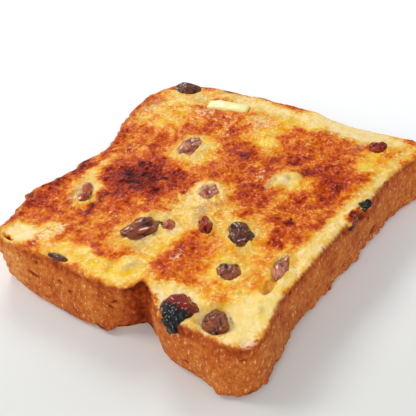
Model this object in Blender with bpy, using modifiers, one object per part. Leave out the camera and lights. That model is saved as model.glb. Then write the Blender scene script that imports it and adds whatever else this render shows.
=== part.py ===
"""Raisin toast: one thick, buttered slice of a tin-baked raisin loaf, lying on its cut face.

The slice lies flat with the toasted face up. The loaf's base edge is towards -Y, its risen top
towards +Y, and the origin is the middle of the underside, on the surface that the slice rests on.
Raisins sit in sockets of their own shape, and a stick of butter is sunk a little into the face.
"""

import math

import bpy
from mathutils import Matrix, Vector, noise

MM = 0.001

# Driving dimensions in millimetres
THICKNESS = 17.0
RIM_ROUND = 0.7
FOOT_ROUND = 1.3
WALL_BULGE = 0.9
FACE_CROWN = 0.9
FACE_SWELL = 0.45
SWELL_LENGTH = 17.0
FACE_CRAG = 0.22
CRAG_LENGTH = 5.5
DOME_CRAG = 0.7
SOCKET_GAP = 0.4
UNDERSIDE_LIFT = 0.3

# Mesh fineness
OUTLINE_STEPS = 112
FACE_RINGS = (0.975, 0.93, 0.86, 0.77, 0.67, 0.56, 0.45, 0.33, 0.2)
RAISIN_SEGMENTS = 10
RAISIN_RINGS = 7

# The slice's outline on the toasted face, anticlockwise from the cleft where the risen top of the
# loaf overhangs the tin. Each point is x, y and how far the wall flares outwards at the underside.
CLEFT = (-46.8, -10.4, 0.6)
TIN_SIDE_LEFT = (
    (-49.6, -15.0, -0.3), (-53.2, -19.6, -0.8), (-55.6, -25.5, 0.0), (-55.6, -36.0, 1.2), (-55.9, -44.5, 2.2),
)
BASE_EDGE = (
    (-54.2, -49.6, 0.9), (-48.4, -51.0, 0.2), (-37.0, -48.2, 0.2), (-25.0, -46.9, 0.0), (0.0, -46.8, 0.0),
    (26.0, -46.6, 0.0), (41.0, -47.6, 0.6), (50.0, -50.0, 1.0),
)
TIN_SIDE_RIGHT = (
    (54.4, -46.0, 1.0), (53.9, -33.0, 0.0), (52.9, -20.0, 0.0), (54.0, -4.0, 0.4), (53.7, 14.0, 0.4),
)
DOME_RIGHT = (
    (52.7, 27.0, 0.6), (51.6, 34.5, 0.0), (50.2, 38.6, 0.0), (50.0, 42.6, 0.6), (45.4, 48.2, 1.0), (33.0, 51.6, 1.0),
)
DOME_TOP = (
    (23.0, 49.6, 0.6), (13.0, 46.4, 0.2), (4.0, 42.6, 0.0), (-5.0, 41.8, 0.0), (-12.0, 43.8, 0.0), (-20.5, 43.2, 0.2),
)
DOME_LEFT = ((-30.5, 46.8, 0.4), (-40.0, 44.2, -0.4), (-49.4, 41.8, -1.4), (-54.3, 38.0, -2.0))
LOBE_LEFT = (
    (-54.0, 27.0, 1.4), (-53.2, 14.5, 3.2), (-54.0, 3.0, 2.6), (-53.4, -5.4, -0.6), (-51.4, -9.0, -1.6),
)
OUTLINE = (CLEFT,) + TIN_SIDE_LEFT + BASE_EDGE + TIN_SIDE_RIGHT + DOME_RIGHT + DOME_TOP + DOME_LEFT + LOBE_LEFT

# Raisins on the toasted face: x, y, length, width, height, yaw in degrees, rise above the face
FACE_RAISINS = {
    "raisin_dome_rim": (45.0, 41.8, 9.6, 6.6, 5.0, -58, 1.0),
    "raisin_far": (12.8, 17.0, 11.4, 6.0, 5.0, 3, 1.2),
    "raisin_mid": (-4.0, -3.0, 7.6, 5.8, 4.6, 40, 0.9),
    "raisin_torn": (-23.8, 30.6, 9.6, 4.4, 4.0, 24, 0.5),
    "raisin_long": (-29.9, 3.3, 12.8, 6.4, 5.6, -22, 1.7),
    "raisin_chip": (-24.6, -2.8, 4.8, 3.8, 3.4, 0, 0.5),
    "raisin_red": (-19.2, -12.4, 8.8, 5.4, 5.0, 42, 1.0),
    "raisin_dark": (-17.4, -23.6, 9.8, 8.2, 5.8, 42, 1.8),
    "raisin_broad": (-32.0, -28.6, 7.9, 6.8, 5.0, -58, 1.2),
    "raisin_slim": (-23.2, -40.6, 10.8, 3.9, 4.2, 18, 0.5),
    "raisin_corner": (-48.8, -37.6, 9.8, 7.6, 6.4, 38, 1.8),
    "raisin_scorched": (-50.8, -26.7, 12.8, 10.2, 8.2, -62, 1.5),
    "raisin_base_far": (44.0, -35.8, 6.4, 5.4, 4.4, -70, 0.8),
    "raisin_charred": (15.0, -46.2, 5.4, 4.6, 5.2, 20, 0.8),
    "raisin_rim_sliver": (7.4, -46.4, 6.8, 3.0, 4.2, 12, 0.2),
    "raisin_lobe_rim": (-51.3, 16.8, 8.8, 3.4, 5.0, -86, 0.3),
}

# Raisins cut through by the knife on the underside: x, y, length, width, height, yaw in degrees
UNDERSIDE_RAISINS = {
    "raisin_under_1": (-31.0, -22.0, 10.4, 7.0, 5.4, 25),
    "raisin_under_2": (20.0, -28.0, 9.2, 6.4, 5.0, -40),
    "raisin_under_3": (34.0, 12.0, 11.0, 6.6, 5.2, 70),
    "raisin_under_4": (-14.0, 22.0, 8.6, 6.6, 5.0, 10),
    "raisin_under_5": (-38.0, 24.0, 9.8, 6.0, 5.0, -55),
    "raisin_under_6": (8.0, 15.0, 7.6, 6.0, 4.6, 120),
}

# Raisins that show in the crust wall: x, y, z, length, width, height, yaw in degrees
WALL_RAISINS = {
    "raisin_lobe_foot": (-54.3, -0.6, 2.2, 6.6, 3.6, 3.2, 80),
    "raisin_wall_side": (54.0, -8.0, 9.0, 8.6, 3.6, 6.0, 88),
    "raisin_wall_dome": (-8.6, 42.7, 7.4, 8.2, 3.8, 5.6, -8),
}

# The butter stick: x, y, length, width, height, yaw in degrees, rise above the face
BUTTER = (40.8, 21.0, 15.0, 5.0, 2.6, -74, 1.2)

# Pits in the toasted face, where a bubble in the crumb was cut open: x, y, length, width, depth, yaw
PITS = (
    (-31.8, -42.0, 7.0, 2.6, 1.8, -4), (-46.0, 0.8, 5.0, 3.2, 1.2, 80), (-37.2, -36.6, 2.6, 2.2, 1.2, 0),
    (-39.4, 11.0, 5.0, 3.0, 1.0, 70), (-2.0, -33.0, 3.2, 2.4, 1.0, 20), (27.0, -8.0, 3.6, 2.4, 1.0, 50),
    (30.0, 33.0, 4.2, 2.4, 1.0, -30), (-44.0, 32.0, 3.8, 2.4, 1.2, 10),
)

COLOURS = {
    "bread": (0.62, 0.24, 0.05, 1.0, 0.6),
    "raisin": (0.07, 0.018, 0.01, 1.0, 0.35),
    "butter": (0.93, 0.72, 0.28, 1.0, 0.3),
}


def clear_scene():
    """Removes every object and mesh that the file holds."""
    for old in list(bpy.data.objects):
        bpy.data.objects.remove(old)
    for mesh in list(bpy.data.meshes):
        bpy.data.meshes.remove(mesh)


def new_collection(name):
    """A collection linked to the scene."""
    made = bpy.data.collections.new(name)
    bpy.context.scene.collection.children.link(made)
    return made


def material(name):
    """A Principled material with the colour and roughness of that food."""
    red, green, blue, alpha, roughness = COLOURS[name]
    made = bpy.data.materials.new(name)
    made.use_nodes = True
    shader = made.node_tree.nodes["Principled BSDF"]
    shader.inputs["Base Color"].default_value = (red, green, blue, alpha)
    shader.inputs["Roughness"].default_value = roughness
    shader.inputs["Metallic"].default_value = 0.0
    return made


def spline_point(a, b, c, d, t):
    """Catmull-Rom point between b and c, for vectors of any length."""
    return tuple(
        0.5 * (2 * q + (r - p) * t + (2 * p - 5 * q + 4 * r - s) * t ** 2 + (3 * q - p - 3 * r + s) * t ** 3)
        for p, q, r, s in zip(a, b, c, d)
    )


def smooth_outline():
    """The outline as evenly spaced (x, y, flare) points. It starts at the cleft, its one sharp corner."""
    knots = OUTLINE + (CLEFT,)
    fine = []
    for i in range(len(knots) - 1):
        before = knots[max(i - 1, 0)]
        after = knots[min(i + 2, len(knots) - 1)]
        fine += [spline_point(before, knots[i], knots[i + 1], after, k / 24) for k in range(24)]
    fine.append(CLEFT)
    lengths = [0.0]
    for a, b in zip(fine, fine[1:]):
        lengths.append(lengths[-1] + math.dist(a[:2], b[:2]))
    points = []
    j = 0
    for i in range(OUTLINE_STEPS):
        target = lengths[-1] * i / OUTLINE_STEPS
        while lengths[j + 1] < target:
            j += 1
        share = (target - lengths[j]) / (lengths[j + 1] - lengths[j])
        points.append(tuple(p + share * (q - p) for p, q in zip(fine[j], fine[j + 1])))
    return points


def outward_normals(points):
    """Unit normals of the closed outline, pointing out of the slice."""
    normals = []
    for i, _ in enumerate(points):
        before = points[i - 1]
        after = points[(i + 1) % len(points)]
        along = Vector((after[0] - before[0], after[1] - before[1]))
        normals.append(Vector((along.y, -along.x)).normalized())
    normals[0] = Vector((-1.0, 0.0))
    return normals


def face_height(x, y):
    """Height of the toasted face in millimetres: a low crown with the swells and crags of risen crumb."""
    crown = FACE_CROWN * max(0.0, 1 - (x / 56) ** 2) * max(0.0, 1 - (y / 52) ** 2)
    swell = FACE_SWELL * noise.noise(Vector((x, y, 4.0)) / SWELL_LENGTH) * 2
    crag = FACE_CRAG * noise.noise(Vector((x, y, 9.0)) / CRAG_LENGTH) * 2
    return THICKNESS + crown + swell + crag


def dome_crag(point):
    """How far the torn, browned rim of the risen top stands out of the smooth outline, in millimetres."""
    x, y = point[:2]
    on_dome = min(1.0, max(0.0, (y - 36.0) / 5.0))
    return DOME_CRAG * on_dome * noise.noise(Vector((x * 0.23, y * 0.23, 1.5))) * 2


def bread_rings():
    """Rings of points from the middle of the toasted face, over the rim and down the wall."""
    points = smooth_outline()
    normals = outward_normals(points)
    ragged = [dome_crag(p) for p in points]
    near_cleft = [min(1.0, math.dist(p[:2], CLEFT[:2]) / 9.0) for p in points]

    def wall_ring(inset, flare_share, bulge, z):
        ring = []
        for (x, y, flare), normal, free, crag in zip(points, normals, near_cleft, ragged):
            out = flare * flare_share + bulge * free + crag * (z / THICKNESS) ** 2 - inset
            ring.append(Vector((x + normal.x * out, y + normal.y * out, z)))
        return ring

    rim = wall_ring(RIM_ROUND, 0.0, 0.0, THICKNESS)
    for p in rim:
        p.z = face_height(p.x, p.y) - 0.1
    rings = []
    for share in reversed(FACE_RINGS):
        rings.append([Vector((p.x * share, p.y * share, face_height(p.x * share, p.y * share))) for p in rim])
    rings.append(rim)
    rings.append(wall_ring(0.0, 0.05, 0.1, THICKNESS - RIM_ROUND))
    rings.append(wall_ring(0.0, 0.3, WALL_BULGE * 0.8, THICKNESS * 0.7))
    rings.append(wall_ring(0.0, 0.65, WALL_BULGE, THICKNESS * 0.4))
    rings.append(wall_ring(0.0, 0.95, WALL_BULGE * 0.3, FOOT_ROUND))
    rings.append(wall_ring(FOOT_ROUND, 1.0, 0.0, 0.0))
    return rings


def loft_bread():
    """The slice as a closed loft between its rings, with a flat underside."""
    rings = bread_rings()
    count = len(rings[0])
    vertices = [Vector((0.0, 0.0, face_height(0.0, 0.0)))] + [p for ring in rings for p in ring]
    faces = []
    for i in range(count):
        faces.append((0, 1 + i, 1 + (i + 1) % count))
    for r in range(len(rings) - 1):
        upper = 1 + r * count
        lower = upper + count
        for i in range(count):
            k = (i + 1) % count
            faces.append((upper + i, lower + i, lower + k, upper + k))
    last = 1 + (len(rings) - 1) * count
    faces.append(tuple(last + i for i in reversed(range(count))))
    mesh = bpy.data.meshes.new("bread")
    mesh.from_pydata([v * MM for v in vertices], [], faces)
    mesh.update()
    return mesh


def shape_raisin(name, size, seed):
    """A wrinkled raisin of that size about its own middle: furrows run from end to end."""
    bpy.ops.mesh.primitive_uv_sphere_add(segments=RAISIN_SEGMENTS, ring_count=RAISIN_RINGS, radius=1.0)
    made = bpy.context.object
    made.name = name
    made.data.name = name
    made.data.transform(Matrix.Rotation(math.radians(90), 4, "Y"))
    length, width, height = size
    for v in made.data.vertices:
        x, y, z = v.co
        around = math.atan2(z, y)
        furrow = 0.07 * math.cos(4 * around + 1.7 * seed + 0.9 * x) + 0.05 * math.cos(3 * around - seed - 1.3 * x)
        dent = 0.1 * noise.noise(Vector((x, y, z)) * 1.3 + Vector((seed * 3.1, 0, 0)))
        girth = 1 + furrow * (1 - x * x) + dent
        bend = 0.12 * math.sin(1.9 * seed) * (x * x - 0.4)
        v.co = Vector((x * (1 + dent) * length / 2, (y * girth + bend) * width / 2, z * girth * height / 2)) * MM
    made.data.update()
    return made


def lay_down(piece, middle, yaw, tilt=0.0):
    """Turns a piece about Z, tilts it about Y and puts its middle in place, in its mesh."""
    turn = Matrix.Rotation(math.radians(yaw), 4, "Z") @ Matrix.Rotation(math.radians(tilt), 4, "Y")
    piece.data.transform(Matrix.Translation(Vector(middle) * MM) @ turn)


def move_to(piece, target):
    """Puts an object in one collection only."""
    for old in list(piece.users_collection):
        old.objects.unlink(piece)
    target.objects.link(piece)


def inflated_copy(piece, gap, cutters):
    """A cutter: the piece grown by the gap all round."""
    cutter = piece.copy()
    cutter.data = piece.data.copy()
    cutter.name = piece.name + "_socket"
    normals = [v.normal.copy() for v in cutter.data.vertices]
    for v, normal in zip(cutter.data.vertices, normals):
        v.co += normal * gap * MM
    cutter.data.update()
    cutter.hide_render = True
    cutter.display_type = "WIRE"
    cutters.objects.link(cutter)
    return cutter


def face_raisins(parts, cutters, finish):
    """The raisins that show on the toasted face, and their sockets."""
    for seed, (name, (x, y, length, width, height, yaw, rise)) in enumerate(FACE_RAISINS.items()):
        piece = shape_raisin(name, (length, width, height), seed + 1)
        lay_down(piece, (x, y, face_height(x, y) + rise - height / 2), yaw)
        piece.data.materials.append(finish)
        piece.data.shade_smooth()
        move_to(piece, parts)
        inflated_copy(piece, SOCKET_GAP, cutters)


def underside_raisins(parts, cutters, finish):
    """Raisins that the knife cut flat, a little above the surface that the slice rests on."""
    for seed, (name, (x, y, length, width, height, yaw)) in enumerate(UNDERSIDE_RAISINS.items()):
        piece = shape_raisin(name, (length, width, height), seed + 31)
        lay_down(piece, (x, y, height * 0.14), yaw)
        piece.data.materials.append(finish)
        piece.data.shade_smooth()
        move_to(piece, parts)
        cutter = inflated_copy(piece, SOCKET_GAP, cutters)
        for v in cutter.data.vertices:
            if v.co.z < UNDERSIDE_LIFT * MM:
                v.co.z -= 1.0 * MM
        cut_flat(piece, UNDERSIDE_LIFT)


def cut_flat(piece, level):
    """Cuts off what lies below a level, as the knife did, and closes the cut."""
    bpy.context.view_layer.objects.active = piece
    for other in bpy.context.selected_objects:
        other.select_set(False)
    piece.select_set(True)
    bpy.ops.object.mode_set(mode="EDIT")
    bpy.ops.mesh.select_all(action="SELECT")
    bpy.ops.mesh.bisect(plane_co=(0, 0, level * MM), plane_no=(0, 0, 1), use_fill=True, clear_inner=True)
    bpy.ops.object.mode_set(mode="OBJECT")


def wall_raisins(parts, cutters, finish):
    """Raisins that show through the crust wall."""
    for seed, (name, (x, y, z, length, width, height, yaw)) in enumerate(WALL_RAISINS.items()):
        piece = shape_raisin(name, (length, width, height), seed + 61)
        lay_down(piece, (x, y, z), yaw)
        piece.data.materials.append(finish)
        piece.data.shade_smooth()
        move_to(piece, parts)
        inflated_copy(piece, SOCKET_GAP, cutters)


def butter_stick(parts, cutters, finish):
    """A stick of butter that has begun to melt: a rounded bar, thinner at its ends."""
    x, y, length, width, height, yaw, rise = BUTTER
    bpy.ops.mesh.primitive_cube_add(size=1.0)
    piece = bpy.context.object
    piece.name = "butter"
    piece.data.name = "butter"
    piece.data.transform(Matrix.Diagonal((length * MM, width * MM, height * MM, 1.0)))
    soft = piece.modifiers.new("melted edges", "BEVEL")
    soft.width = 1.1 * MM
    soft.segments = 2
    soft.limit_method = "NONE"
    solid = bpy.data.meshes.new_from_object(piece.evaluated_get(bpy.context.evaluated_depsgraph_get()))
    piece.modifiers.clear()
    piece.data = solid
    for v in piece.data.vertices:
        along = v.co.x / (length / 2 * MM)
        v.co.y += 0.5 * MM * along ** 2
        v.co.z -= 0.35 * MM * along ** 2
    piece.data.update()
    lay_down(piece, (x, y, face_height(x, y) + rise - height / 2), yaw)
    piece.data.materials.append(finish)
    piece.data.shade_smooth()
    move_to(piece, parts)
    inflated_copy(piece, SOCKET_GAP, cutters)


def pit_cutters(cutters):
    """Shallow bowls that open the bubbles in the crumb."""
    for i, (x, y, length, width, depth, yaw) in enumerate(PITS):
        bpy.ops.mesh.primitive_uv_sphere_add(segments=8, ring_count=6, radius=1.0)
        bowl = bpy.context.object
        bowl.name = f"pit_{i + 1}"
        bowl.data.transform(Matrix.Diagonal((length / 2 * MM, width / 2 * MM, depth * MM, 1.0)))
        lay_down(bowl, (x, y, face_height(x, y) + 0.15), yaw)
        bowl.hide_render = True
        bowl.display_type = "WIRE"
        move_to(bowl, cutters)


def bread_slice(parts, cutters, finish):
    """The slice itself, crumb and crust in one, with a socket for each piece that it holds."""
    piece = bpy.data.objects.new("bread", loft_bread())
    parts.objects.link(piece)
    piece.data.materials.append(finish)
    piece.data.shade_smooth()
    piece.data.set_sharp_from_angle(angle=math.radians(40))
    cut = piece.modifiers.new("sockets and pits", "BOOLEAN")
    cut.operation = "DIFFERENCE"
    cut.operand_type = "COLLECTION"
    cut.collection = cutters
    cut.solver = "EXACT"


def main():
    """Builds the slice, its raisins and its butter."""
    clear_scene()
    parts = new_collection("raisin toast")
    cutters = new_collection("cutters")
    finishes = {name: material(name) for name in COLOURS}
    face_raisins(parts, cutters, finishes["raisin"])
    underside_raisins(parts, cutters, finishes["raisin"])
    wall_raisins(parts, cutters, finishes["raisin"])
    butter_stick(parts, cutters, finishes["butter"])
    pit_cutters(cutters)
    bread_slice(parts, cutters, finishes["bread"])


main()
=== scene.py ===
"""Raisin toast: the looks of one thick, buttered slice of a tin-baked raisin loaf.

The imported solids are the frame. Each one is dressed here with a detailed piece of the same place and
size: the slice with its toasted crumb and crust, the wrinkled raisins, and the melting stick of butter.
Lengths are in millimetres until a point goes into a mesh.
"""

import logging
import math
from dataclasses import dataclass, field
from enum import Enum

import bpy
from mathutils import Euler, Matrix, Vector, kdtree, noise


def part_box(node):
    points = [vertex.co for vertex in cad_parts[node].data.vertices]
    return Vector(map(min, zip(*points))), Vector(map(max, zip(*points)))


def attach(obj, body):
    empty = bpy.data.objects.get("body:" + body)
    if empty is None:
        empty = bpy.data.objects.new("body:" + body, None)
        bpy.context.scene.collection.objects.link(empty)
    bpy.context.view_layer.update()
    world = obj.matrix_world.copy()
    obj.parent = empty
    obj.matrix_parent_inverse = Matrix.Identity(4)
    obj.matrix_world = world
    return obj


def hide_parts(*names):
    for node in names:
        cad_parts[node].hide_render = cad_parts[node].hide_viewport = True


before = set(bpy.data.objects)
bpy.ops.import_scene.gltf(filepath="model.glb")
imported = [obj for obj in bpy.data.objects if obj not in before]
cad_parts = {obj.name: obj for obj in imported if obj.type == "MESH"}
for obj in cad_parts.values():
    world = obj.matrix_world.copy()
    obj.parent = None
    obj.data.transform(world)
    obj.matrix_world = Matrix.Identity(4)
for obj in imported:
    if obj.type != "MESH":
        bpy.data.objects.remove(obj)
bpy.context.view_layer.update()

MM = 0.001
LOG = logging.getLogger("raisin_toast")

Colour = tuple[float, float, float]


def smooth_step(low: float, high: float, value: float) -> float:
    """An S-shaped rise from 0 at low to 1 at high.

    Args:
        low: Where the rise starts.
        high: Where it ends.
        value: The place to read.

    Returns:
        The share, from 0 to 1.
    """
    share = min(1.0, max(0.0, (value - low) / (high - low)))
    return share * share * (3 - 2 * share)


def wobble(point: Vector, size: float, seed: float = 0.0) -> float:
    """Smooth noise between about -1 and 1.

    Args:
        point: The place, in millimetres.
        size: The size of its waves, in millimetres.
        seed: Picks another pattern of the same kind.

    Returns:
        The height of the pattern there.
    """
    return noise.noise(Vector((point.x / size + seed, point.y / size - seed, point.z / size + 2 * seed)))


def linear(red: int, green: int, blue: int) -> Colour:
    """A colour as it is matched on a screen, made linear for the shader.

    Args:
        red: 0 to 255.
        green: 0 to 255.
        blue: 0 to 255.

    Returns:
        The three linear values.
    """
    return tuple(
        ((value / 255 + 0.055) / 1.055) ** 2.4 if value > 10 else value / 255 / 12.92
        for value in (red, green, blue)
    )


def curve_between(p: float, q: float, r: float, s: float, t: float) -> float:
    """One coordinate of a smooth curve through a row of points.

    Args:
        p: The coordinate of the point before.
        q: That of the point where the stretch starts.
        r: That of the point where it ends.
        s: That of the point after.
        t: The share of the way from q to r.

    Returns:
        The coordinate there.
    """
    bend = 2 * p - 5 * q + 4 * r - s
    twist = 3 * q - p - 3 * r + s
    return 0.5 * (2 * q + (r - p) * t + bend * t ** 2 + twist * t ** 3)


def deselect_all() -> None:
    """Leaves nothing selected, so that an operator acts on the new piece alone."""
    for other in bpy.context.selected_objects:
        other.select_set(False)


def take_up(piece: bpy.types.Object) -> None:
    """Selects one piece alone and makes it active."""
    deselect_all()
    piece.select_set(True)
    bpy.context.view_layer.objects.active = piece


def apply_all(piece: bpy.types.Object) -> None:
    """Applies every modifier of a piece, in order."""
    take_up(piece)
    for modifier in list(piece.modifiers):
        bpy.ops.object.modifier_apply(modifier=modifier.name)


def merged_copy(node: str, name: str) -> bpy.types.Object:
    """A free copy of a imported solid, with its loose triangles merged into one skin.

    Args:
        node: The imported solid's name.
        name: The copy's name.

    Returns:
        The new object.
    """
    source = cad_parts[node]
    made = bpy.data.objects.new(name, source.data.copy())
    made.data.name = name
    made.data.materials.clear()
    bpy.context.scene.collection.objects.link(made)
    take_up(made)
    bpy.ops.object.mode_set(mode="EDIT")
    bpy.ops.mesh.select_all(action="SELECT")
    bpy.ops.mesh.remove_doubles(threshold=0.00001)
    bpy.ops.object.mode_set(mode="OBJECT")
    return made


def write_field(mesh: bpy.types.Mesh, name: str, values: list[float]) -> None:
    """Stores one number per point of a mesh, for its material to read."""
    made = mesh.attributes.new(name, "FLOAT", "POINT")
    made.data.foreach_set("value", values)


class NodeBoard:
    """The node tree of one material, with a call for each kind of node that the finishes use."""

    def __init__(self, name: str) -> None:
        """Starts an empty material with its output and Principled shader."""
        self.material = bpy.data.materials.new(name)
        self.material.use_nodes = True
        self.nodes = self.material.node_tree.nodes
        self.links = self.material.node_tree.links
        self.nodes.clear()
        self.shader = self.nodes.new("ShaderNodeBsdfPrincipled")
        output = self.nodes.new("ShaderNodeOutputMaterial")
        self.links.new(self.shader.outputs[0], output.inputs["Surface"])
        self.place = self.nodes.new("ShaderNodeTexCoord").outputs["Object"]

    def put(self, socket: bpy.types.NodeSocket, value: object) -> None:
        """Gives a socket a value, or wires it to another socket."""
        if isinstance(value, bpy.types.NodeSocket):
            self.links.new(value, socket)
        elif isinstance(value, tuple) and len(value) == 3 and socket.type == "RGBA":
            socket.default_value = (*value, 1.0)
        else:
            socket.default_value = value

    def set(self, **values: object) -> None:
        """Sets the shader's own sockets, named with underscores for spaces."""
        for name, value in values.items():
            self.put(self.shader.inputs[name.replace("_", " ")], value)

    def stretched(self, stretch: tuple[float, float, float]) -> bpy.types.NodeSocket:
        """Object coordinates, stretched by a factor along each axis."""
        mapping = self.nodes.new("ShaderNodeMapping")
        mapping.inputs["Scale"].default_value = tuple(1 / s for s in stretch)
        self.links.new(self.place, mapping.inputs["Vector"])
        return mapping.outputs[0]

    def noise(
        self, size: float, detail: float = 2.0, roughness: float = 0.5,
        stretch: tuple[float, float, float] | None = None,
    ) -> bpy.types.NodeSocket:
        """A noise pattern.

        Args:
            size: The size of its largest waves, in millimetres.
            detail: How many finer layers it has.
            roughness: How strong the finer layers are.
            stretch: Factors along X, Y and Z.

        Returns:
            The pattern's value, about 0 to 1.
        """
        made = self.nodes.new("ShaderNodeTexNoise")
        made.inputs["Scale"].default_value = 1 / (size * MM)
        made.inputs["Detail"].default_value = detail
        made.inputs["Roughness"].default_value = roughness
        self.links.new(self.stretched(stretch) if stretch else self.place, made.inputs["Vector"])
        return made.outputs[0]

    def field(self, name: str) -> bpy.types.NodeSocket:
        """A number that the mesh carries at each point."""
        made = self.nodes.new("ShaderNodeAttribute")
        made.attribute_name = name
        return made.outputs["Fac"]

    def math(self, operation: str, *values: object, clamp: bool = False) -> bpy.types.NodeSocket:
        """A sum of numbers or sockets."""
        made = self.nodes.new("ShaderNodeMath")
        made.operation = operation
        made.use_clamp = clamp
        for socket, value in zip(made.inputs, values):
            self.put(socket, value)
        return made.outputs[0]

    def sway(self, pattern: object, amount: float) -> bpy.types.NodeSocket:
        """A pattern from 0 to 1, centred on nought and weighted."""
        return self.math("MULTIPLY", self.math("SUBTRACT", pattern, 0.5), amount)

    def spread(
        self, value: object, low: float, high: float, to_low: float = 0.0, to_high: float = 1.0,
    ) -> bpy.types.NodeSocket:
        """Maps a range of values smoothly onto another.

        Args:
            value: The value to map.
            low: Where the range starts.
            high: Where it ends.
            to_low: What its start becomes.
            to_high: What its end becomes.

        Returns:
            The mapped value.
        """
        made = self.nodes.new("ShaderNodeMapRange")
        made.interpolation_type = "SMOOTHSTEP"
        for socket, number in zip(made.inputs, (value, low, high, to_low, to_high)):
            self.put(socket, number)
        return made.outputs[0]

    def blend(self, share: object, first: object, second: object) -> bpy.types.NodeSocket:
        """A colour between two, by a share from 0 to 1."""
        made = self.nodes.new("ShaderNodeMix")
        made.data_type = "RGBA"
        self.put(made.inputs[0], share)
        self.put(made.inputs[6], first)
        self.put(made.inputs[7], second)
        return made.outputs[2]

    def ramp(self, value: object, stops: tuple[tuple[float, Colour], ...]) -> bpy.types.NodeSocket:
        """Colours along a value from 0 to 1.

        Args:
            value: The value to look up.
            stops: Each stop's place and colour.

        Returns:
            The colour.
        """
        made = self.nodes.new("ShaderNodeValToRGB")
        elements = made.color_ramp.elements
        while len(elements) < len(stops):
            elements.new(0.5)
        for element, (place, colour) in zip(elements, stops):
            element.position = place
            element.color = (*colour, 1.0)
        self.put(made.inputs[0], value)
        return made.outputs[0]

    def relief(
        self, height: object, depth: float, strength: float = 1.0, below: object = None,
    ) -> bpy.types.NodeSocket:
        """A bump node.

        Args:
            height: The pattern of heights, 0 to 1.
            depth: The pattern's depth, in millimetres.
            strength: Its weight.
            below: A bump that it is laid over.

        Returns:
            The bent normal.
        """
        made = self.nodes.new("ShaderNodeBump")
        made.inputs["Strength"].default_value = strength
        made.inputs["Distance"].default_value = depth * MM
        self.put(made.inputs["Height"], height)
        if below is not None:
            self.put(made.inputs["Normal"], below)
        return made.outputs[0]


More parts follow.
